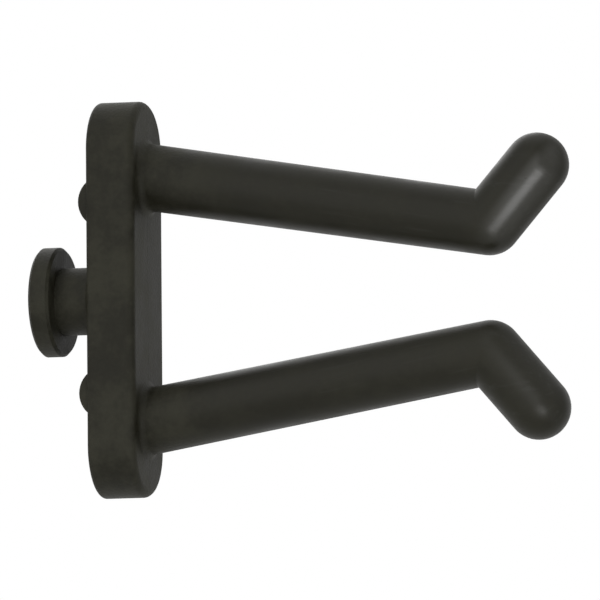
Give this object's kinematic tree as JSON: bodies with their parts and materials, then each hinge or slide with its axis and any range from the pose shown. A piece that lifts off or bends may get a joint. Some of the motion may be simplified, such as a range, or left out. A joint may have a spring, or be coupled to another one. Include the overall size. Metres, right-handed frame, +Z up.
{
  "type": "pegboard hook",
  "caption": "Double hook moulded in one piece: an upright back bar with a headed stud for a board's keyhole, and round prongs that draw together and end in turned-out tips to hang tools on.",
  "frame": {"origin": "on the bar's back face, on the axis of the headed stud", "axes": "+X away from the board along the prongs, +Y across the bar, +Z up the bar"},
  "size_m": [0.0495, 0.0098, 0.0358],
  "materials": {
    "black_plastic": "satin moulded black"
  },
  "bodies": {
    "root": {"double_hook": "black_plastic"}
  },
  "joints": []
}
